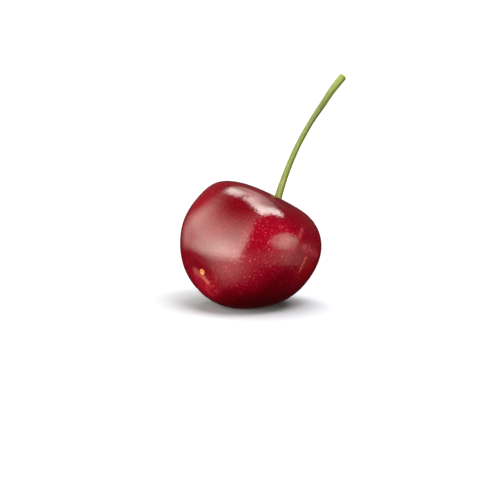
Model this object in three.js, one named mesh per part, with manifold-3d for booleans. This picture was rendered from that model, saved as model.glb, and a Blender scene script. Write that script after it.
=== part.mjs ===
// A sweet cherry lying on its side, with the stalk that it was picked with.
// Millimetres, +Z up. The origin is the middle of the small flat that the fruit rests on.
import * as THREE from 'three';
import { mergeVertices } from 'three/addons/utils/BufferGeometryUtils.js';
import Module from 'manifold-3d';

// The fruit on its own axes: +Z towards the stalk, X across the cheeks, widest ring at Z = 0.
const cherry = {
  halfWidth: 13.9,
  halfThickness: 13.3,
  topHeight: 11.8, // widest ring to shoulders
  baseHeight: 12.8, // widest ring to style end
  topFullness: 0.82, // 1 is an ellipsoid, less is fuller
  baseFullness: 0.85,
  taper: 0.11, // how much the shoulders are wider than the style end
  cavityDepth: 5.6,
  cavitySpread: 0.28, // of the fruit's radius
  saddleDip: 1.9, // the cavity's rim is lower in front and behind
  dimpleDepth: 1, // at the style end
  dimpleSpread: 0.25,
  shoulderTilt: { x: 2.2, y: 1 },
  baseTilt: { x: -0.3, y: -2.2 },
  baseShift: { x: -0.6, y: -1.2 },
};

// How it lies: turned about its own axis, leant over towards +X, then headed round Z.
const lie = {
  turn: THREE.MathUtils.degToRad(-67),
  lean: THREE.MathUtils.degToRad(58),
  heading: THREE.MathUtils.degToRad(36),
  centre: new THREE.Vector3(0, 0.22, 12.45), // of the widest ring
};

// The stalk: from the floor of the cavity to the scar where it left the tree.
const stalk = {
  line: [
    new THREE.Vector3(4.46, 3.46, 15.89),
    new THREE.Vector3(6.1, 4.7, 17.2),
    new THREE.Vector3(7.1, 15.3, 30.6),
    new THREE.Vector3(15.2, 20.5, 36.8),
    new THREE.Vector3(20.1, 25.7, 43.3),
  ],
  waistRadius: 0.5,
  swell: { radius: 0.22, length: 13 }, // thicker towards the fruit
  neck: { radius: 0.6, length: 1.1 },
  flare: { radius: 0.25, start: 18, end: 39 }, // thicker towards the scar
  tipRound: 0.3,
  // radius and distance from the foot, for the button that holds the fruit
  button: [[0, 0], [0.9, 0.1], [1.45, 0.5], [1.65, 0.95], [1.5, 1.25], [1.1, 1.4]],
};

const mesh = {
  sides: 52, // round the fruit
  bodyRings: 26,
  cavityRings: 11,
  cavityLatitude: THREE.MathUtils.degToRad(64), // where the finer rings start
  stalkSides: 12,
  stalkRings: 38,
};

// A closed mesh whose corners are shared, without the empty triangles at its poles.
function welded(geometry) {
  geometry.deleteAttribute('normal');
  geometry.deleteAttribute('uv');
  const merged = mergeVertices(geometry, 1e-5);
  const corners = merged.getIndex().array;
  const kept = [];
  for (let i = 0; i < corners.length; i += 3) {
    const [a, b, c] = corners.slice(i, i + 3);
    if (a !== b && b !== c && c !== a) {
      kept.push(a, b, c);
    }
  }
  merged.setIndex(kept);
  return merged;
}

// Moves each vertex of a geometry to where a function puts it.
function reshape(geometry, place) {
  const position = geometry.getAttribute('position');
  const vertex = new THREE.Vector3();
  for (let i = 0; i < position.count; i += 1) {
    vertex.fromBufferAttribute(position, i);
    position.setXYZ(i, ...place(vertex).toArray());
  }
  return geometry;
}

// A unit half circle from the lower pole to the upper one, with finer rings in the cavity.
function ringProfile() {
  const points = [];
  const lowest = -Math.PI / 2;
  for (let i = 0; i < mesh.bodyRings; i += 1) {
    const latitude = lowest + ((mesh.cavityLatitude - lowest) * i) / mesh.bodyRings;
    points.push(new THREE.Vector2(Math.cos(latitude), Math.sin(latitude)));
  }
  const cavityEdge = Math.cos(mesh.cavityLatitude);
  for (let i = 0; i <= mesh.cavityRings; i += 1) {
    const radius = cavityEdge * (1 - i / mesh.cavityRings);
    points.push(new THREE.Vector2(radius, Math.sqrt(1 - radius ** 2)));
  }
  points[0].x = 0;
  return points;
}

// The cherry's skin in a direction from its middle: an uneven ellipsoid, pressed in at both ends.
function skinPoint(direction) {
  const rise = direction.z;
  const ring = Math.hypot(direction.x, direction.y);
  const across = ring > 0 ? direction.x / ring : 1;
  const along = ring > 0 ? direction.y / ring : 0;
  const above = THREE.MathUtils.smoothstep(rise, 0, 1);
  const below = THREE.MathUtils.smoothstep(-rise, 0, 1);
  const fullness = rise > 0 ? cherry.topFullness : cherry.baseFullness;
  const girth = ring ** fullness * (1 + cherry.taper * rise);
  const x = girth * across;
  const y = girth * along;
  const inCavity = Math.exp(-((girth / cherry.cavitySpread) ** 3));
  const inDimple = Math.exp(-((girth / cherry.dimpleSpread) ** 2));
  let height = rise > 0 ? cherry.topHeight * rise : cherry.baseHeight * rise;
  if (rise > 0) {
    height -= cherry.cavityDepth * inCavity;
    height -= cherry.saddleDip * above * along ** 2 * (1 - inCavity);
  } else {
    height += cherry.dimpleDepth * inDimple;
  }
  height += above * (cherry.shoulderTilt.x * x + cherry.shoulderTilt.y * y);
  height += below * (cherry.baseTilt.x * x + cherry.baseTilt.y * y);
  return new THREE.Vector3(
    cherry.halfWidth * x + cherry.baseShift.x * below,
    cherry.halfThickness * y + cherry.baseShift.y * below,
    height,
  );
}

function lyingMatrix() {
  const matrix = new THREE.Matrix4().makeTranslation(lie.centre);
  matrix.multiply(new THREE.Matrix4().makeRotationZ(lie.heading));
  matrix.multiply(new THREE.Matrix4().makeRotationY(lie.lean));
  matrix.multiply(new THREE.Matrix4().makeRotationZ(lie.turn));
  return matrix;
}

// The fruit as it lies, cut off level where its weight presses it flat.
async function fruitGeometry() {
  const wasm = await Module();
  wasm.setup();
  const solid = (geometry) => new wasm.Manifold(new wasm.Mesh({
    numProp: 3,
    vertProperties: new Float32Array(geometry.getAttribute('position').array),
    triVerts: new Uint32Array(geometry.getIndex().array),
  }));
  const skin = new THREE.LatheGeometry(ringProfile(), mesh.sides).rotateX(Math.PI / 2);
  const whole = reshape(welded(skin), skinPoint).applyMatrix4(lyingMatrix());
  const thickness = 10;
  const ground = new THREE.BoxGeometry(60, 60, thickness).translate(0, 0, -thickness / 2);
  const rested = solid(whole).subtract(solid(welded(ground))).getMesh();
  const geometry = new THREE.BufferGeometry();
  geometry.setAttribute('position', new THREE.BufferAttribute(rested.vertProperties, 3));
  geometry.setIndex(new THREE.BufferAttribute(rested.triVerts, 1));
  geometry.computeVertexNormals();
  return geometry;
}

// A smooth curve drawn towards its control points by repeated halving between neighbours.
class StalkLine extends THREE.Curve {
  getPoint(t) {
    let points = stalk.line;
    while (points.length > 1) {
      points = points.slice(1).map((point, i) => points[i].clone().lerp(point, t));
    }
    return points[0];
  }
}

function stalkRadius(distance) {
  const { waistRadius, swell, neck, flare } = stalk;
  const thickening = swell.radius * Math.exp(-((distance / swell.length) ** 2));
  const neckFlare = neck.radius * Math.exp(-distance / neck.length);
  const scarFlare = flare.radius * THREE.MathUtils.smoothstep(distance, flare.start, flare.end);
  return waistRadius + thickening + neckFlare + scarFlare;
}

// The stalk turned straight up the Y axis, then bent along its line.
function stalkGeometry() {
  const line = new StalkLine();
  const length = line.getLength();
  const profile = stalk.button.map(([radius, distance]) => new THREE.Vector2(radius, distance));
  const start = stalk.button.at(-1)[1];
  const end = length - stalk.tipRound;
  for (let i = 1; i <= mesh.stalkRings; i += 1) {
    const distance = start + ((end - start) * i) / mesh.stalkRings;
    profile.push(new THREE.Vector2(stalkRadius(distance), distance));
  }
  profile.push(new THREE.Vector2(stalkRadius(length) - stalk.tipRound, length));
  profile.push(new THREE.Vector2(0, length));
  const sideways = new THREE.Vector3(1, 0, 0);
  const straight = new THREE.LatheGeometry(profile, mesh.stalkSides);
  return reshape(welded(straight), (vertex) => {
    const t = THREE.MathUtils.clamp(vertex.y / length, 0, 1);
    const tangent = line.getTangentAt(t);
    const back = tangent.clone().cross(sideways).normalize();
    const side = back.clone().cross(tangent);
    return line.getPointAt(t).addScaledVector(side, vertex.x).addScaledVector(back, -vertex.z);
  });
}

function piece(name, geometry, look) {
  geometry.computeVertexNormals();
  const result = new THREE.Mesh(geometry, new THREE.MeshStandardMaterial(look));
  result.name = name;
  return result;
}

const part = new THREE.Group();
part.name = 'cherry';
part.add(piece('fruit', await fruitGeometry(), { color: '#8a0a1c', roughness: 0.25, metalness: 0 }));
part.add(piece('stalk', stalkGeometry(), { color: '#8a9a4c', roughness: 0.6, metalness: 0 }));

export default part;
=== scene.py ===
import math
import bpy
import numpy as np
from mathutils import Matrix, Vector


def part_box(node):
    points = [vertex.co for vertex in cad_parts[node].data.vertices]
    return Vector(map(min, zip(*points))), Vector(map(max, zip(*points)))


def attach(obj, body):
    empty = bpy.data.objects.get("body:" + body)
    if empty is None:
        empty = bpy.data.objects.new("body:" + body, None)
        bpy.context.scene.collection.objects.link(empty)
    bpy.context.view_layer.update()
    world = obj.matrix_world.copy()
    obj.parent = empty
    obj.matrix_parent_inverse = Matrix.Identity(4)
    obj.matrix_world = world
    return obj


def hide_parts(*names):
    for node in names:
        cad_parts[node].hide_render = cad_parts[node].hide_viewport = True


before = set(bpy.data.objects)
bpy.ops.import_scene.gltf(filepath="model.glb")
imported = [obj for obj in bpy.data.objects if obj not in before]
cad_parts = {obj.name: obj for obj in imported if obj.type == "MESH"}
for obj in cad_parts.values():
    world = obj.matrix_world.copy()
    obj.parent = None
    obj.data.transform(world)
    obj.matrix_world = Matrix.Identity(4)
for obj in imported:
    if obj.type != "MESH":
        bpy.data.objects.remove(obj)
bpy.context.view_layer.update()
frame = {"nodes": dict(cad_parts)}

fruitLow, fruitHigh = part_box("fruit")
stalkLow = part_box("stalk")[0]
mm = 0.001
print("frame loaded:", ", ".join(frame["nodes"]))


def smoothStep(value, low, high):
    # 0 below low, 1 above high, and 3t^2 - 2t^3 between them
    t = np.clip((value - low) / (high - low), 0, 1)
    return t * t * (3 - 2 * t)


def turnZ(angle):
    # a turn about Z, which takes X to (cos, sin) and Y to (-sin, cos)
    c, s = math.cos(angle), math.sin(angle)
    return np.array([[c, -s, 0], [s, c, 0], [0, 0, 1]])


def turnY(angle):
    # a turn about Y, which takes Z towards X
    c, s = math.cos(angle), math.sin(angle)
    return np.array([[c, 0, s], [0, 1, 0], [-s, 0, c]])


def closedGrid(rings):
    # corners and faces of a closed skin: four-sided faces join each ring to the next,
    # and three-sided ones join the first and the last ring to single points
    rows, columns = rings.shape[:2]
    corners = np.concatenate([rings[0, :1], rings[1:-1].reshape(-1, 3), rings[-1, :1]])
    here = np.arange(columns)
    beside = (here + 1) % columns
    starts = 1 + columns * np.arange(rows - 3)[:, None]
    ends = starts + columns
    quads = np.stack([starts + here, starts + beside, ends + beside, ends + here], -1)
    top = len(corners) - 1
    last = top - columns
    under = np.stack([np.zeros_like(here), beside + 1, here + 1], -1)
    over = np.stack([last + here, last + beside, np.full_like(here, top)], -1)
    return corners, quads.reshape(-1, 4).tolist() + under.tolist() + over.tolist()


def addSkin(name, rings, attributes):
    # a smooth closed mesh, with each attribute's vector stored at every corner
    corners, faces = closedGrid(rings)
    mesh = bpy.data.meshes.new(name)
    mesh.from_pydata(corners, [], faces)
    mesh.shade_smooth()
    for label, values in attributes.items():
        stored = mesh.attributes.new(label, "FLOAT_VECTOR", "POINT")
        stored.data.foreach_set("vector", closedGrid(values)[0].astype(np.float32).ravel())
    piece = bpy.data.objects.new(name, mesh)
    bpy.context.scene.collection.objects.link(piece)
    return piece


class Value:
    # an output of a node; sums, products and powers of it add math nodes
    def __init__(self, graph, socket):
        self.graph = graph
        self.socket = socket

    def math(self, operation, first, second):
        return self.graph.add("ShaderNodeMath", {"operation": operation}, {0: first, 1: second})

    def __add__(self, other):
        return self.math("ADD", self, other)

    def __sub__(self, other):
        return self.math("SUBTRACT", self, other)

    def __rsub__(self, other):
        return self.math("SUBTRACT", other, self)

    def __mul__(self, other):
        return self.math("MULTIPLY", self, other)

    def __truediv__(self, other):
        return self.math("DIVIDE", self, other)

    def __neg__(self):
        return self.math("MULTIPLY", self, -1)

    def __pow__(self, other):
        return self.math("POWER", self, other)

    __radd__ = __add__
    __rmul__ = __mul__


class Graph:
    # the nodes of one material or world
    def __init__(self, owner):
        owner.use_nodes = True
        self.tree = owner.node_tree
        self.tree.nodes.clear()

    def add(self, kind, settings=None, values=None, output=0):
        # a node with its settings, and then its sockets' values or links
        node = self.tree.nodes.new(kind)
        for name, setting in (settings or {}).items():
            setattr(node, name, setting)
        for key, value in (values or {}).items():
            if isinstance(value, Value):
                self.tree.links.new(value.socket, node.inputs[key])
            else:
                node.inputs[key].default_value = value
        if node.outputs:
            return Value(self, node.outputs[output])

    def rise(self, value, low, high):
        # 0 below low and 1 above high, smooth between
        return self.add("ShaderNodeMapRange", {"interpolation_type": "SMOOTHSTEP"},
                        {"Value": value, "From Min": low, "From Max": high})

    def limited(self, value):
        # no less than 0 and no more than 1
        return self.add("ShaderNodeClamp", None, {0: value})

    def bell(self, value, centre, width):
        # exp(-((value - centre) / width)^2)
        share = (value - centre) / width
        return self.add("ShaderNodeMath", {"operation": "POWER"}, {0: math.exp(-1), 1: share * share})

    def either(self, first, second):
        # the share that at least one of two shares covers: a + b - ab
        return first + second - first * second

    def between(self, value, low, high, soft):
        # 1 from low to high, with soft edges inside them
        return self.rise(value, low, low + soft) * self.rise(value, high, high - soft)

    def mix(self, factor, first, second):
        # sockets 0, 6 and 7 of a colour Mix are its factor and two colours, and output 2 is the colour
        return self.add("ShaderNodeMix", {"data_type": "RGBA"}, {0: factor, 6: first, 7: second}, 2)

    def vector(self, operation, first, second=(0, 0, 0), output=0):
        return self.add("ShaderNodeVectorMath", {"operation": operation}, {0: first, 1: second}, output)

    def scaled(self, vector, factor):
        return self.add("ShaderNodeVectorMath", {"operation": "SCALE"}, {0: vector, "Scale": factor})

    def dot(self, first, second):
        # the cosine of the angle between two unit vectors, or how far one reaches along the other
        return self.vector("DOT_PRODUCT", first, second, "Value")

    def parts(self, vector):
        split = self.add("ShaderNodeSeparateXYZ", None, {0: vector}).socket.node
        return [Value(self, socket) for socket in split.outputs]

    def joined(self, x, y, z):
        return self.add("ShaderNodeCombineXYZ", None, {0: x, 1: y, 2: z})

    def attribute(self, name):
        return self.add("ShaderNodeAttribute", {"attribute_name": name}, None, "Vector")

    def noise(self, place, scale, detail=2.0, roughness=0.5, output="Fac"):
        values = {"Vector": place, "Scale": scale, "Detail": detail, "Roughness": roughness}
        return self.add("ShaderNodeTexNoise", None, values, output)

    def cells(self, place, scale):
        # distance to the nearest cell centre, and that cell's own random number
        far = self.add("ShaderNodeTexVoronoi", None, {"Vector": place, "Scale": scale}, "Distance")
        colour = Value(self, far.socket.node.outputs["Color"])
        return far, self.parts(colour)[0]

    def bump(self, height, distance, strength=1.0):
        values = {"Strength": strength, "Distance": distance, "Height": height}
        return self.add("ShaderNodeBump", None, values)

    def finish(self, surface, kind="ShaderNodeOutputMaterial"):
        self.add(kind, None, {"Surface": surface})


cherry = {
    # sizes
    "halfWidth": 13.9 * mm,
    "halfThickness": 13.3 * mm,
    "topHeight": 11.8 * mm,
    "baseHeight": 12.8 * mm,
    "topFullness": 0.82,
    "baseFullness": 0.85,
    "taper": 0.11,
    "cavityDepth": 5.6 * mm,
    "cavitySpread": 0.28,
    "saddleDip": 1.9 * mm,
    "dimpleDepth": 1.0 * mm,
    "dimpleSpread": 0.25,
    "shoulderTilt": (2.2 * mm, 1.0 * mm),
    "baseTilt": (-0.3 * mm, -2.2 * mm),
    "baseShift": (-0.6 * mm, -1.2 * mm),
    "turn": math.radians(-67),
    "lean": math.radians(58),
    "heading": math.radians(36),
    "offCentre": (-0.752 * mm, -0.298 * mm, -0.23 * mm),   # from the middle of the fruit's box
    "unevenness": 0.05 * mm,   # slow swells of the skin
    "sutureDepth": 0.10 * mm,
    "sutureWidth": 0.07,
    "sutureSide": math.radians(112),
    "scarCentre": (-0.50 * mm, -2.30 * mm),
    "scarLength": 2.2 * mm,
    "scarWidth": 1.3 * mm,
    "scarHeight": 0.15 * mm,
    "scarAngle": math.radians(119),
    "puckers": 17,
    "puckerHeight": 0.03 * mm,
    "contactBlend": 0.03 * mm,
    "rings": 280,
    "columns": 316,
    # colours of the skin: painted light and shade mix it between the dark red and the bright red
    "deepRedAndShade": (0.070, 0.0002, 0.0020, 1),
    "bright": (0.258, 0.0005, 0.0115, 1),
    # painted glow, as of light shining through the skin
    "paintedGlow": (0.30, 0.0005, 0.0010, 1),
    # painted shade for the cavity
    "cavity": (0.045, 0.0010, 0.0025, 1),
    "footRing": (0.12, 0.055, 0.018, 1),
    # colours of its marks
    "fleck": (0.50, 0.050, 0.095, 1),
    "streak": (0.48, 0.050, 0.070, 1),
    # corky skin by the scar, partly a painted reflection
    "corkAndSheen": (0.40, 0.072, 0.070, 1),
    "corkCore": (0.46, 0.150, 0.090, 1),
    "scar": (0.72, 0.330, 0.120, 1),
    "scarHeart": (0.55, 0.190, 0.065, 1),
    "rub": (0.44, 0.055, 0.080, 1),
    "scratch": (0.50, 0.105, 0.070, 1),
    "roughness": 0.10,
    # the lighter sides, partly the skin's own blush and partly painted light, a side with a painted glow,
    # and the darker sides of painted shade, as directions in the fruit's own frame
    "lowBlushAndLight": (0.609, -0.426, -0.669),
    "midBlushAndLight": (0.759, -0.637, -0.139),
    "sideBlushAndLight": (0.957, 0.203, 0.208),
    "sidePaintedGlow": (0.968, 0.150, 0.200),
    "baseBlushAndLight": (0.040, -0.030, -0.999),
    "faceShade": (-0.033, -0.939, 0.342),
    "shoulderShade": (0.492, -0.587, 0.643),
    "undersideShade": (0.627, 0.527, -0.574),
    # places and ends of the marks in the fruit's own frame, in millimetres
    "scarOval": (1.10, 0.60),      # half its length and half its width
    "corkLine": [(-2.2, -1.45, 0), (-0.75, -1.25, 0), (0.75, -0.50, 0)],
    "rubLine": [(13.00, -4.20, 3.90), (13.20, 0.40, 6.30)],
    "dabLine": [(11.21, -6.73, 5.80), (12.10, -6.30, 4.00)],
    "scratchLine": [(13.72, -2.18, 3.28), (13.97, -0.63, 0.93)],
}


def ringLatitudes(count, cavityShare=0.26, cavityLatitude=math.radians(62)):
    # most rings are even steps of latitude, and the rest are even steps of radius in the stalk's cavity
    fine = int(count * cavityShare)
    body = np.linspace(-math.pi / 2, cavityLatitude, count - fine, endpoint=False)
    radius = math.cos(cavityLatitude) * np.linspace(1, 0, fine)
    return np.concatenate([body, np.arccos(radius)])


def swells(x, y, z):
    # a few waves added up: each is the sine of ax + by + cz + phase, times its size
    waves = [(3.1, 1.2, 2.2, 0.4, 1.0), (-2.3, 3.4, 1.1, 1.9, 0.9), (4.6, -2.7, 3.9, 0.2, 0.6),
             (1.4, 5.2, -4.4, 2.6, 0.5), (-5.8, 2.2, 5.1, 4.1, 0.35), (7.3, 6.1, 2.4, 5.0, 0.22)]
    return sum(size * np.sin(a * x + b * y + c * z + phase) for a, b, c, phase, size in waves)


def cherrySkin(latitude, longitude):
    # an uneven ellipsoid: its girth is the cosine of the latitude to a power, and its height is the sine,
    # less a bell for the cavity and a dip between the shoulders, with a dimple under it and both ends tilted
    rise = np.sin(latitude)
    ring = np.maximum(np.cos(latitude), 0)
    across, along = np.cos(longitude), np.sin(longitude)
    above, below = smoothStep(rise, 0, 1), smoothStep(-rise, 0, 1)
    upper = rise > 0
    fullness = np.where(upper, cherry["topFullness"], cherry["baseFullness"])
    girth = ring ** fullness * (1 + cherry["taper"] * rise)
    x, y = girth * across, girth * along
    inCavity = np.exp(-(girth / cherry["cavitySpread"]) ** 3)
    inDimple = np.exp(-(girth / cherry["dimpleSpread"]) ** 2)
    hollow = cherry["cavityDepth"] * inCavity + cherry["saddleDip"] * above * along ** 2 * (1 - inCavity)
    height = np.where(upper, cherry["topHeight"] * rise - hollow,
                      cherry["baseHeight"] * rise + cherry["dimpleDepth"] * inDimple)
    height = height + above * (cherry["shoulderTilt"][0] * x + cherry["shoulderTilt"][1] * y)
    height = height + below * (cherry["baseTilt"][0] * x + cherry["baseTilt"][1] * y)
    placeX = cherry["halfWidth"] * x + cherry["baseShift"][0] * below
    placeY = cherry["halfThickness"] * y + cherry["baseShift"][1] * below
    direction = np.stack([ring * across, ring * along, rise], -1)
    return np.stack([placeX, placeY, height], -1), direction, girth


def gridNormals(points):
    # the cross product of the steps round a ring and from ring to ring, at every point
    around = np.roll(points, -1, 1) - np.roll(points, 1, 1)
    along = np.gradient(points, axis=0)
    normal = np.cross(around, along)
    length = np.linalg.norm(normal, axis=-1, keepdims=True)
    normal = normal / np.maximum(length, 1e-15)
    normal[0], normal[-1] = normal[1].mean(0), normal[-2].mean(0)
    return normal / np.linalg.norm(normal, axis=-1, keepdims=True)


def scarPlace(own):
    # place on the scar's oval: along it and across it, as shares of its half sizes
    c, s = math.cos(cherry["scarAngle"]), math.sin(cherry["scarAngle"])
    x = own[..., 0] - cherry["scarCentre"][0]
    y = own[..., 1] - cherry["scarCentre"][1]
    return (c * x + s * y) / (cherry["scarLength"] / 2), (c * y - s * x) / (cherry["scarWidth"] / 2)


def makeFruit():
    # the skin's points moved along their normals by its relief, and then turned as the fruit lies
    around = np.linspace(0, 2 * math.pi, cherry["columns"], endpoint=False)
    latitude, longitude = np.meshgrid(ringLatitudes(cherry["rings"]), around, indexing="ij")
    own, direction, girth = cherrySkin(latitude, longitude)
    normal = gridNormals(own)
    spread = smoothStep(girth, 0.1, 0.5)
    lift = cherry["unevenness"] * swells(*np.moveaxis(direction, -1, 0)) * spread
    # the suture: a shallow crease down one side, from the cavity to the scar
    offSuture = np.angle(np.exp(1j * (longitude - cherry["sutureSide"] - 0.06 * np.sin(3 * latitude))))
    lift = lift - cherry["sutureDepth"] * np.exp(-(offSuture / cherry["sutureWidth"]) ** 2) * spread
    # the style scar: a low oval mound with a pit in it
    along, across = scarPlace(own)
    below = latitude < 0
    mound = np.exp(-(along ** 2 + across ** 2) ** 2) * below
    pit = np.exp(-(along / 0.5) ** 2 - (across / 0.4) ** 2) * below
    lift = lift + cherry["scarHeight"] * (mound - 1.3 * pit)
    # fine puckers where the skin draws in to the stalk
    pucker = np.exp(-(girth / 0.2) ** 2) * smoothStep(girth, 0.03, 0.12) * (latitude > 0)
    folds = np.sin(longitude * cherry["puckers"] + 2 * np.sin(longitude * 3))
    lift = lift + cherry["puckerHeight"] * pucker * folds
    skin = own + normal * lift[..., None]
    lying = turnZ(cherry["heading"]) @ turnY(cherry["lean"]) @ turnZ(cherry["turn"])
    centre = (fruitLow + fruitHigh) / 2 + Vector(cherry["offCentre"])
    placed = skin @ lying.T + np.array(centre)
    # the skin gives where it meets the surface: a soft maximum of its height and zero
    z = placed[..., 2]
    blend = cherry["contactBlend"]
    placed[..., 2] = np.where(z < 20 * blend, (z + np.sqrt(z * z + 4 * blend * blend)) / 2, z)
    # what the material reads: own place in millimetres, and heading and girth round the axis
    stripe = np.stack([np.cos(longitude), np.sin(longitude), girth], -1)
    return addSkin("cherry_skin", placed, {"ownPlace": own / mm, "roundPlace": stripe})


def farFromLine(graph, place, start, end):
    # distance from the nearest point of a straight line between two ends
    line = Vector(end) - Vector(start)
    offset = graph.vector("SUBTRACT", place, start)
    share = graph.limited(graph.dot(offset, line / line.length_squared))
    return graph.vector("DISTANCE", offset, graph.scaled(line, share), "Value")


def skinColour(graph, own, towards):
    # dark red turning to bright red: painted light on the lighter sides, which are partly the skin's own
    # blush, less painted shade on the darker sides, with slow and fine mottling
    low, mid = towards("lowBlushAndLight", 0.84), towards("midBlushAndLight", 0.84) * 0.85
    band = graph.either(low, mid)
    blushAndLight = band * 0.38 + towards("sideBlushAndLight", 0.88) * 0.38 + towards("baseBlushAndLight", 0.925) * 0.42
    # painted shade on one face, on the shoulder and on the underside
    shade = towards("faceShade", 0.60) * 0.34 + towards("shoulderShade", 0.80) * 0.25
    shade = shade + towards("undersideShade", 0.62) * 0.40
    slow = graph.noise(own, 0.11, 2.0) - 0.5
    fine = graph.noise(own, 0.7, 4.0, 0.65) - 0.5
    lightness = blushAndLight - shade + slow * 0.35 + fine * 0.35 + 0.44
    return graph.mix(graph.limited(lightness), cherry["deepRedAndShade"], cherry["bright"]), band


def skinFlecks(graph, own, towards, band):
    # pale flecks at the middles of wavering cells, fewer where the crowd of them thins out
    warp = graph.noise(own, 0.9, 2.0, 0.5, "Color")
    warped = graph.vector("ADD", own, graph.scaled(warp, 1.1))
    farOne, pickOne = graph.cells(warped, 1.7)
    farTwo, pickTwo = graph.cells(warped, 2.9)
    flecks = graph.rise(farOne, 0.38, 0.15) * graph.rise(pickOne, 0.30, 0.92) * 0.80
    specks = graph.rise(farTwo, 0.42, 0.17) * graph.rise(pickTwo, 0.42, 0.96) * 0.60
    patchy = graph.rise(graph.noise(own, 0.25, 2.0), 0.36, 0.62)
    crowd = band * 0.75 + towards("sideBlushAndLight", 0.80) * 0.55 + patchy * 0.25 + 0.10
    crowd = crowd * (1 - towards("undersideShade", 0.55) * 0.85)
    crowd = crowd * (1 - towards("shoulderShade", 0.86) * 0.6)
    return graph.either(flecks, specks) * crowd


def skinStreaks(graph, own, roundPlace, below):
    # fine streaks that fan out from the base to one side: noise drawn out along the girth
    roundX, roundY, girth = roundPlace
    bend = graph.noise(own, 0.7, 2.0) * 3
    fan = graph.noise(graph.joined(roundX * 15 + bend, roundY * 15 - bend, girth * 9), 1.0, 2.0, 0.6)
    broken = graph.noise(own, 1.3, 3.0, 0.6)
    side = graph.rise(roundX * 0.966 + roundY * 0.26, 0.35, 0.95)
    reach = graph.between(girth, 0.05, 0.40, 0.14) * below * (side * 0.9 + 0.1)
    return graph.rise(fan, 0.49, 0.59) * graph.rise(broken, 0.38, 0.52) * reach


def skinMaterial():
    # the skin's colour, its marks laid over it in turn, and wax and grain in its finish
    material = bpy.data.materials.new("cherry_skin")
    graph = Graph(material)
    own = graph.attribute("ownPlace")
    ownX, ownY, ownZ = graph.parts(own)
    roundPlace = graph.parts(graph.attribute("roundPlace"))
    girth = roundPlace[2]
    below = graph.rise(ownZ, 1, -1)
    above = 1 - below
    heading = graph.vector("NORMALIZE", own)

    def towards(name, low):
        return graph.rise(graph.dot(heading, cherry[name]), low, 0.995)

    colour, band = skinColour(graph, own, towards)
    pale = skinFlecks(graph, own, towards, band)
    colour = graph.mix(pale, colour, cherry["fleck"])
    # a painted glow on one side, as of light shining through the skin
    colour = graph.mix(towards("sidePaintedGlow", 0.978) * 0.7, colour, cherry["paintedGlow"])
    colour = graph.mix(skinStreaks(graph, own, roundPlace, below) * 0.7, colour, cherry["streak"])
    # corky skin trails away from the scar, partly a painted reflection
    flat = graph.joined(ownX, ownY, 0.0)
    ragged = graph.noise(own, 2.0, 4.0, 0.7) - 0.5
    corkStart, corkMiddle, corkEnd = cherry["corkLine"]
    toLeft = farFromLine(graph, flat, corkStart, corkMiddle)
    toRight = farFromLine(graph, flat, corkMiddle, corkEnd)
    wide = graph.rise(toLeft + ragged * 2.0, 1.35, 0.40)
    slim = graph.rise(toRight + ragged * 2.4, 1.10, 0.25)
    corkAndSheen = graph.either(wide, slim) * below
    core = graph.rise(toRight + ragged * 2.6, 0.60, -0.10) * below
    colour = graph.mix(corkAndSheen * 0.7, colour, cherry["corkAndSheen"])
    colour = graph.mix(core * 0.6, colour, cherry["corkCore"])
    # the scar is an oval: the distance from its middle is 1 at its rim
    c, t = math.cos(cherry["scarAngle"]), math.sin(cherry["scarAngle"])
    scarX, scarY = cherry["scarCentre"][0] / mm, cherry["scarCentre"][1] / mm
    offX, offY = ownX - scarX, ownY - scarY
    along = (offX * c + offY * t) / cherry["scarOval"][0]
    across = (offY * c - offX * t) / cherry["scarOval"][1]
    offScar = (along * along + across * across) ** 0.5 + ragged * 0.5
    scar = graph.rise(offScar, 1.15, 0.80) * below
    heart = graph.rise(offScar, 0.50, 0.15) * below
    colour = graph.mix(scar * 0.95, colour, cherry["scar"])
    colour = graph.mix(heart * 0.4, colour, cherry["scarHeart"])
    # rubbed patches and an old scratch on the shoulder
    worn = graph.noise(own, 1.5, 3.0, 0.65) - 0.5
    rub = graph.rise(farFromLine(graph, own, *cherry["rubLine"]) + worn * 2.6, 1.20, -0.10)
    dab = graph.rise(farFromLine(graph, own, *cherry["dabLine"]) + worn * 2.2, 0.75, -0.10)
    colour = graph.mix(graph.either(rub, dab) * 0.42, colour, cherry["rub"])
    broken = graph.noise(own, 2.6, 2.0)
    toScratch = farFromLine(graph, own, *cherry["scratchLine"])
    scratch = graph.rise(toScratch + (broken - 0.5) * 0.9, 0.42, 0.08) * graph.rise(broken, 0.68, 0.40)
    colour = graph.mix(scratch * 0.75, colour, cherry["scratch"])
    # painted shade darkens the cavity towards the stalk's foot, and the skin round the foot itself is
    # brownish
    colour = graph.mix(graph.rise(girth, 0.42, 0.12) * above * 0.85, colour, cherry["cavity"])
    footNoise = graph.noise(own, 1.3, 3.0) * 0.05
    colour = graph.mix(graph.rise(girth + footNoise, 0.195, 0.15) * above, colour, cherry["footRing"])
    # wax, grain and marks in the finish
    waxy = graph.noise(own, 0.5, 3.0)
    marks = scar * 0.6 + corkAndSheen * 0.4 + scratch * 0.3
    roughness = cherry["roughness"] + (waxy - 0.5) * 0.06 + pale * 0.08 + marks * 0.4
    swell = graph.noise(own, 0.8, 2.0, 0.5) + graph.noise(own, 1.7, 3.0, 0.5) * 0.75
    grain = graph.noise(own, 3.6, 2.0, 0.6)
    height = swell + grain * 0.12 + pale * 0.15 + ragged * marks * 2.0 + scar * 2.0 - heart * 2.0
    shader = graph.add("ShaderNodeBsdfPrincipled", None, {
        "Base Color": colour,
        "Roughness": roughness,
        "IOR": 1.5,
        "Normal": graph.bump(height, 0.026 * mm),
        "Subsurface Weight": 0.1,
        "Subsurface Radius": (1.0, 0.12, 0.08),
        "Subsurface Scale": 1.5 * mm,
    })
    graph.finish(shader)
    return material


fruit = makeFruit()
fruit.data.materials.append(skinMaterial())
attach(fruit, "root")
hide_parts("fruit")
print("fruit made:", len(fruit.data.polygons), "faces")


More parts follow.
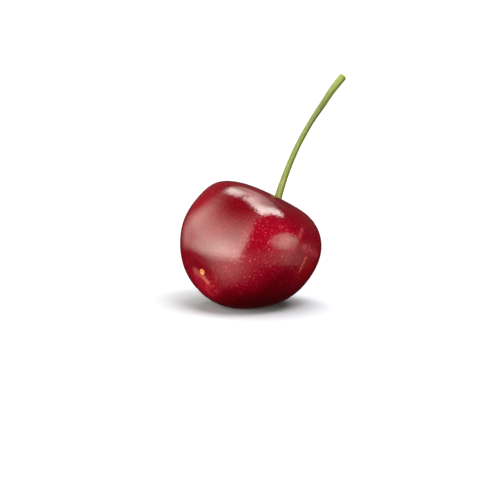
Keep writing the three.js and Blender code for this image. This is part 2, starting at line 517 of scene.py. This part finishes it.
stalk = {
    # sizes; the line's guide points are in millimetres from the low corner of the stalk's box
    "line": [(1.13, 0.87, 0.73), (2.77, 2.11, 2.04), (3.77, 12.71, 15.44), (11.87, 17.91, 21.64),
             (16.77, 23.11, 28.14)],
    "bends": [(20, 8, 0.12), (34.8, 3.2, -0.19)],     # place, width and depth in millimetres
    "waistRadius": 0.58 * mm,
    "swellRadius": 0.29 * mm,
    "swellLength": 10 * mm,
    "neckRadius": 0.60 * mm,
    "neckLength": 1.1 * mm,
    "flareRadius": 0.18 * mm,
    "flareStart": 24 * mm,
    "flareEnd": 38 * mm,
    "lipRadius": 0.08 * mm,
    "lipLength": 1.3 * mm,
    "ridges": 7,
    "ridgeHeight": 0.022 * mm,
    "tipRound": 0.34 * mm,
    "tipHollow": 0.18 * mm,
    "slant": 0.16 * mm,
    "scallop": 0.05 * mm,
    "columns": 60,
    "lineSteps": 1200,
    # radius and distance from the foot of the button that holds the fruit
    "button": [(0.0, 0.0), (0.9, 0.1), (1.35, 0.42), (1.6, 0.75), (1.64, 1.0), (1.5, 1.22), (1.1, 1.42)],
    # rings of the button, the shaft, the rim and the scar in its end
    "rings": (40, 445, 11, 22),
    # colours
    "green": (0.113, 0.137, 0.027, 1),
    "lime": (0.172, 0.214, 0.030, 1),
    "foot": (0.150, 0.170, 0.014, 1),
    "shade": (0.074, 0.101, 0.014, 1),
    "tan": (0.270, 0.200, 0.065, 1),
    "brown": (0.105, 0.060, 0.025, 1),
    "heart": (0.150, 0.170, 0.045, 1),
    "roughness": 0.42,
}


def bezier(points, t):
    # guide points weighted by the terms of (t + (1 - t))^n
    n = len(points) - 1
    weights = [math.comb(n, i) * t ** i * (1 - t) ** (n - i) for i in range(n + 1)]
    return sum(w[:, None] * np.array(p) for w, p in zip(weights, points))


def evenLine(points, count):
    # the curve's points at even distances along it, with those distances
    dense = bezier(points, np.linspace(0, 1, 2000))      # far finer than the rings
    walked = np.concatenate([[0], np.cumsum(np.linalg.norm(np.diff(dense, axis=0), axis=1))])
    distance = np.linspace(0, walked[-1], count)
    return np.stack([np.interp(distance, walked, dense[:, k]) for k in range(3)], -1), distance


def stalkRadius(distance, length):
    # a waist, thicker by a bell curve at the fruit, a short neck, a smooth flare and a lip at the scar
    swell = stalk["swellRadius"] * np.exp(-(distance / stalk["swellLength"]) ** 2)
    neck = stalk["neckRadius"] * np.exp(-distance / stalk["neckLength"])
    flare = stalk["flareRadius"] * smoothStep(distance, stalk["flareStart"], stalk["flareEnd"])
    lip = stalk["lipRadius"] * np.exp((distance - length) / stalk["lipLength"])
    return stalk["waistRadius"] + swell + neck + flare + lip


def stalkProfile(length):
    # radius and distance of every ring: under the button, up the stalk, over the rim into the scar
    buttonRings, shaftRings, rimRings, cupRings = stalk["rings"]
    button = np.array(stalk["button"]) * mm
    knots = np.linspace(0, 1, len(button))
    steps = np.linspace(0, 1, buttonRings)
    buttonPart = np.stack([np.interp(steps, knots, button[:, k]) for k in range(2)], -1)
    start, end = button[-1, 1], length - stalk["tipRound"]
    along = np.linspace(start, end, shaftRings + 1)[1:]
    join = smoothStep(along, start, start + 0.8 * mm)
    shaft = np.stack([button[-1, 0] * (1 - join) + stalkRadius(along, length) * join, along], -1)
    angle = np.linspace(0, math.pi / 2, rimRings + 1)[1:]
    rimRadius = stalkRadius(end, length) - stalk["tipRound"] * (1 - np.cos(angle))
    rim = np.stack([rimRadius, end + stalk["tipRound"] * np.sin(angle)], -1)
    inner = np.linspace(1, 0, cupRings + 1)[1:]
    cup = np.stack([rimRadius[-1] * inner, length - stalk["tipHollow"] * smoothStep(1 - inner, 0, 0.7)], -1)
    return np.concatenate([buttonPart, shaft, rim, cup])


def makeStalk():
    # rings of the profile's radius, square to the line, with ridges added to the radius
    points = np.array(stalkLow) + np.array(stalk["line"]) * mm
    middle, distance = evenLine(points, stalk["lineSteps"])
    length = distance[-1]
    # soft bends to one side, each a bell curve over the length
    sway = sum(c * mm * np.exp(-((distance / mm - a) / b) ** 2) for a, b, c in stalk["bends"])
    slope = np.gradient(middle, distance, axis=0)
    middle = middle + sway[:, None] * np.cross(np.array([0, 1.0, 0]), slope)
    profile = stalkProfile(length)
    radius, along = profile[:, :1], profile[:, 1:]
    angle = np.linspace(0, 2 * math.pi, stalk["columns"], endpoint=False)[None, :]
    tangent = np.gradient(middle, axis=0)
    tangent = tangent / np.linalg.norm(tangent, axis=1, keepdims=True)
    back = np.cross(tangent, np.array([1.0, 0, 0]))
    back = back / np.linalg.norm(back, axis=1, keepdims=True)
    side = np.cross(back, tangent)

    def atRings(values):
        found = [np.interp(along[:, 0], distance, values[:, k]) for k in range(3)]
        return np.stack(found, -1)[:, None, :]

    # low ridges that wander round the stalk, and a slow unevenness along it
    onShaft = smoothStep(along, 1.5 * mm, 4 * mm) * smoothStep(along, length, length - 1.2 * mm)
    wander = 0.5 * np.sin(along / (9 * mm)) + 0.25 * np.sin(along / (3.7 * mm) + 1)
    ridge = np.sin(stalk["ridges"] * (angle + wander)) + 0.6 * np.sin(3 * angle - 2 * wander + 1)
    lumps = np.sin(along / (2.3 * mm)) * np.sin(angle + along / (5 * mm))
    lumps = lumps + 0.7 * np.sin(along / (1.1 * mm) + 2 * angle)
    grown = radius + onShaft * stalk["ridgeHeight"] * (ridge + 0.5 * lumps)
    # the button's rim is scalloped
    onButton = np.exp(-((along - 0.95 * mm) / (0.45 * mm)) ** 2) * radius / (1.6 * mm)
    grown = grown + onButton * stalk["scallop"] * (np.sin(5 * angle) + 0.6 * np.sin(9 * angle + 1))
    # the end broke off a little slantwise
    slant = smoothStep(along, length - 1.5 * mm, length) * stalk["slant"]
    slide = slant * (grown / (0.75 * mm)) * np.cos(angle - 2.2)
    cosine, sine = np.cos(angle)[..., None], np.sin(angle)[..., None]
    spoke = cosine * atRings(side) + sine * atRings(back)
    grid = atRings(middle) + grown[..., None] * spoke + slide[..., None] * atRings(tangent)
    # what the material reads: heading round the stalk, place along it, radius and distance to the end
    wide = np.zeros_like(grown)
    place = np.stack([np.cos(angle) + wide, np.sin(angle) + wide, along / mm + wide], -1)
    endPlace = np.stack([radius / mm + wide, (length - along) / mm + wide, wide], -1)
    return addSkin("cherry_stalk", grid, {"stalkPlace": place, "endPlace": endPlace})


def stalkMaterial():
    # greens mixed by fibres and mottling, limier at the far end, with tan cork at the button and the scar
    material = bpy.data.materials.new("cherry_stalk")
    graph = Graph(material)
    roundX, roundY, along = graph.parts(graph.attribute("stalkPlace"))
    radius, toEnd = graph.parts(graph.attribute("endPlace"))[:2]
    # fibres run the length of the stalk
    fibre = graph.noise(graph.joined(roundX * 4, roundY * 4, along * 0.35), 1.0, 3.0, 0.6)
    fibreFine = graph.noise(graph.joined(roundX * 9, roundY * 9, along * 0.9), 1.0, 2.0, 0.5)
    mottle = graph.noise(graph.joined(roundX * 1.2, roundY * 1.2, along * 0.8), 1.0, 4.0, 0.6)
    colour = graph.mix(graph.rise(fibre, 0.38, 0.66), stalk["shade"], stalk["green"])
    colour = graph.mix(graph.rise(mottle, 0.42, 0.72) * 0.55, colour, stalk["lime"])
    colour = graph.mix(graph.rise(toEnd, 9.0, 1.0) * 0.7, colour, stalk["lime"])
    lower = graph.rise(along, 24.0, 9.0)
    colour = graph.mix(lower * 0.5, colour, stalk["foot"])
    spots = graph.rise(graph.noise(graph.joined(roundX, roundY, along), 1.7, 3.0, 0.6), 0.48, 0.60)
    colour = graph.mix(spots * (lower * 0.45 + 0.1), colour, stalk["shade"])
    threads = graph.rise(fibreFine, 0.54, 0.66) * (lower * 0.40 + 0.15)
    colour = graph.mix(threads, colour, stalk["tan"])
    # corky flecks, and the tan rim of the button
    far, pick = graph.cells(graph.joined(roundX * 1.1, roundY * 1.1, along * 0.9), 1.5)
    flecks = graph.rise(far, 0.26, 0.1) * graph.rise(pick, 0.62, 0.9)
    colour = graph.mix(flecks * 0.6, colour, stalk["tan"])
    rim = graph.between(along, 0.55, 1.35, 0.25) * graph.rise(radius, 1.3, 1.6)
    colour = graph.mix(rim * 0.8, colour, stalk["tan"])
    colour = graph.mix(graph.rise(along, 0.6, 0.3), colour, stalk["brown"])
    # the scar at the far end is tan with a darker heart
    onScar = graph.rise(toEnd, 0.16, 0.05) * graph.rise(radius, 0.62, 0.5)
    colour = graph.mix(onScar * 0.8, colour, stalk["tan"])
    colour = graph.mix(onScar * graph.rise(radius, 0.24, 0.1), colour, stalk["heart"])
    height = fibre + fibreFine * 0.5 + mottle * 0.6 - flecks * 0.5
    shader = graph.add("ShaderNodeBsdfPrincipled", None, {
        "Base Color": colour,
        "Roughness": stalk["roughness"] + (fibre - 0.5) * 0.2,
        "IOR": 1.35,
        "Specular IOR Level": 0.4,
        "Normal": graph.bump(height, 0.03 * mm, 0.8),
        "Sheen Weight": 0.10,
        "Sheen Roughness": 0.35,
        "Sheen Tint": (1.0, 0.93, 0.70, 1),
        "Subsurface Weight": 0.5,
        "Subsurface Radius": (0.8, 1.0, 0.3),
        "Subsurface Scale": 0.8 * mm,
    })
    graph.finish(shader)
    return material


stem = makeStalk()
stem.data.materials.append(stalkMaterial())
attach(stem, "root")
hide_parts("stalk")
print("stalk made:", len(stem.data.polygons), "faces")


studio = {
    "floorSide": 4.0,
    "wallRadius": 1.9,
    "wallHeight": 1.5,
    "wallSides": 96,
    "floorColour": (0.42, 0.424, 0.47, 1),
    "elevation": math.radians(11),
    "distance": 0.45,
    "span": 0.100,              # width of the view at the fruit
    "aimShift": (-0.15 * mm, -0.52 * mm, -1.35 * mm),
    "windowColour": (1.0, 0.985, 0.86, 1),
    "roofColour": (1.0, 0.99, 0.93, 1),
}


def makeFloor():
    # a level square round the origin, left out of the fruit's reflections and bounce light
    half = studio["floorSide"] / 2
    corners = [(-half, -half, 0), (half, -half, 0), (half, half, 0), (-half, half, 0)]
    mesh = bpy.data.meshes.new("floor")
    mesh.from_pydata(corners, [], [(0, 1, 2, 3)])
    floor = bpy.data.objects.new("floor", mesh)
    bpy.context.scene.collection.objects.link(floor)
    material = bpy.data.materials.new("floor")
    graph = Graph(material)
    graph.finish(graph.add("ShaderNodeBsdfDiffuse", None, {"Color": studio["floorColour"]}))
    mesh.materials.append(material)
    floor.visible_glossy = False
    floor.visible_diffuse = False


def makeBackdrop():
    # a round wall of bright paper that only the camera sees: two level rings of even turns
    sides = studio["wallSides"]
    angle = np.linspace(0, 2 * math.pi, sides, endpoint=False)
    ring = np.stack([np.cos(angle), np.sin(angle)], -1) * studio["wallRadius"]
    low = np.column_stack([ring, np.full(sides, -0.01)])
    high = np.column_stack([ring, np.full(sides, studio["wallHeight"])])
    first = np.arange(sides)
    after = (first + 1) % sides
    faces = np.stack([after, first, first + sides, after + sides], -1)
    mesh = bpy.data.meshes.new("backdrop")
    mesh.from_pydata(np.concatenate([low, high]).tolist(), [], faces.tolist())
    wall = bpy.data.objects.new("backdrop", mesh)
    bpy.context.scene.collection.objects.link(wall)
    material = bpy.data.materials.new("backdrop")
    graph = Graph(material)
    paper = graph.add("ShaderNodeBsdfDiffuse", None, {"Color": (0.5, 0.5, 0.5, 1)})
    shine = graph.add("ShaderNodeEmission", None, {"Color": (1, 1, 1, 1), "Strength": 1.0})
    graph.finish(graph.add("ShaderNodeAddShader", None, {0: paper, 1: shine}))
    material.cycles.emission_sampling = "NONE"
    mesh.materials.append(material)
    wall.visible_glossy = False
    wall.visible_diffuse = False
    wall.visible_transmission = False
    wall.visible_shadow = False


def softWindow(graph, azimuth, elevation):
    # tall window on the left, dimmer upwards and round to the back, with a bright lower corner
    right = graph.rise(azimuth - elevation * 0.42, -8, -18)
    leftStart = graph.rise(elevation, 0, 24) * 16 - 158
    leftEnd = graph.rise(elevation, 2, 18) * -24 - 80
    left = graph.rise(azimuth, leftStart, leftEnd)
    panel = graph.rise(elevation, 66, 6) * left * 4.7
    dent = graph.bell(azimuth, -108, 16) * graph.bell(elevation, 0, 12) * 0.4
    lift = graph.bell(azimuth, -108, 20) * graph.rise(elevation, 15, 35) * 0.3
    panel = panel * (1 - dent + lift)
    corner = graph.bell(azimuth, -50, 28) * graph.bell(elevation, -4, 14) * 4.4
    bottom = graph.rise(elevation + azimuth * 0.1, -29, -13)
    return right * bottom * (panel + corner)


def apron(graph, azimuth, elevation):
    # light thrown back from in front, low on the left
    level = graph.rise(elevation, -64, -26) * graph.rise(elevation, 5, -18)
    return graph.bell(azimuth, -45, 36) * level * 1.9


def sidePanel(graph, azimuth, elevation, ragged):
    # a small ragged oval in front on the right, with a wider and dimmer panel under it
    x, y = (azimuth - 54) / 22, (elevation - 7) / 12
    bright = graph.rise(x * x + y * y + x * y * 0.6 + (ragged - 0.5) * 2.4, 1.75, -0.15)
    dim = graph.bell(azimuth, 58, 36) * graph.between(elevation, -38, 4, 14)
    return bright * 4.8 + dim * (ragged * 2)


def roofLight(graph, x, y, z):
    # an overhead panel turned half across the view, brightest along its two front edges:
    # x / z and y / z are places on a level ceiling
    flatX = x / z - 0.25
    flatY = y / z + 0.50
    across = flatX * 0.838 + flatY * 0.545
    deep = flatY * 0.838 - flatX * 0.545
    inside = graph.between(across, -0.22, 0.87, 0.09) * graph.rise(deep, -0.23, -0.09)
    inside = inside * graph.rise(deep, 1.55, 1.12) * graph.rise(z, 0.2, 0.4)
    left = graph.rise(across, 0.30, 0.0)
    front = graph.rise(deep, 0.38, 0.06)
    middle = graph.bell(across, 0.3, 0.2) * graph.bell(deep, 0.6, 0.25)
    gap = 1 - graph.bell(deep, 0.74, 0.085) * graph.rise(across, 0.28, 0.05) * 0.8
    edge = graph.bell(across, 0.95, 0.4) * graph.bell(deep, 1.1, 0.5) * graph.rise(z, 0.2, 0.4)
    back = graph.rise(y, 0.0, 0.5) * graph.rise(z, 0.0, 0.15)
    strength = 2.2 + left * 8.0 + front * (12.6 - left * 6) + middle * 4
    return inside * gap * strength + edge * 0.5 + back * 0.05


def makeStudio():
    # one environment of soft panels: azimuth 0 is in front and 90 on the right
    world = bpy.data.worlds.new("studio")
    bpy.context.scene.world = world
    graph = Graph(world)
    x, y, z = graph.parts(graph.add("ShaderNodeTexCoord", None, None, "Generated"))
    toDegrees = math.degrees(1)
    azimuth = graph.add("ShaderNodeMath", {"operation": "ARCTAN2"}, {0: x, 1: -y}) * toDegrees
    elevation = graph.add("ShaderNodeMath", {"operation": "ARCSINE"}, {0: z}) * toDegrees
    # the panels have slightly ragged edges
    ragged = graph.noise(graph.joined(x, y, z), 4.0, 3.0, 0.6)
    azimuth = azimuth + (ragged - 0.5) * 10
    warm = softWindow(graph, azimuth, elevation) + apron(graph, azimuth, elevation)
    warm = warm + sidePanel(graph, azimuth, elevation, ragged)
    cool = roofLight(graph, x, y, z)
    sides = graph.add("ShaderNodeBackground", None, {"Color": studio["windowColour"], "Strength": warm})
    roof = graph.add("ShaderNodeBackground", None, {"Color": studio["roofColour"], "Strength": cool})
    underside = graph.mix(graph.rise(z, -0.15, 0.1), (0.05, 0.01, 0.01, 1), (0.03, 0.03, 0.03, 1))
    fill = graph.add("ShaderNodeBackground", None, {"Color": underside, "Strength": 1.0})
    lamps = graph.add("ShaderNodeAddShader", None, {0: sides, 1: roof})
    lamps = graph.add("ShaderNodeAddShader", None, {0: lamps, 1: fill})
    backdrop = graph.add("ShaderNodeBackground", None, {"Color": (1, 1, 1, 1), "Strength": 1.0})
    seen = graph.add("ShaderNodeLightPath", None, None, "Is Camera Ray")
    light = graph.add("ShaderNodeMixShader", None, {0: seen, 1: lamps, 2: backdrop})
    graph.finish(light, "ShaderNodeOutputWorld")
    bpy.context.scene.view_settings.view_transform = "Standard"


def makeCamera():
    # the lens is the sensor's width times the distance over the width of the view
    data = bpy.data.cameras.new("camera")
    data.sensor_width = 36
    data.lens = data.sensor_width * studio["distance"] / studio["span"]
    data.clip_start, data.clip_end = 0.01, 20
    camera = bpy.data.objects.new("camera", data)
    bpy.context.scene.collection.objects.link(camera)
    aim = (fruitLow + fruitHigh) / 2 + Vector(studio["aimShift"])
    back = Vector((0, -math.cos(studio["elevation"]), math.sin(studio["elevation"])))
    camera.location = aim + back * studio["distance"]
    camera.rotation_mode = "QUATERNION"
    camera.rotation_quaternion = (-back).to_track_quat("-Z", "Y")
    bpy.context.scene.camera = camera


makeFloor()
makeBackdrop()
makeStudio()
makeCamera()
print("studio made")
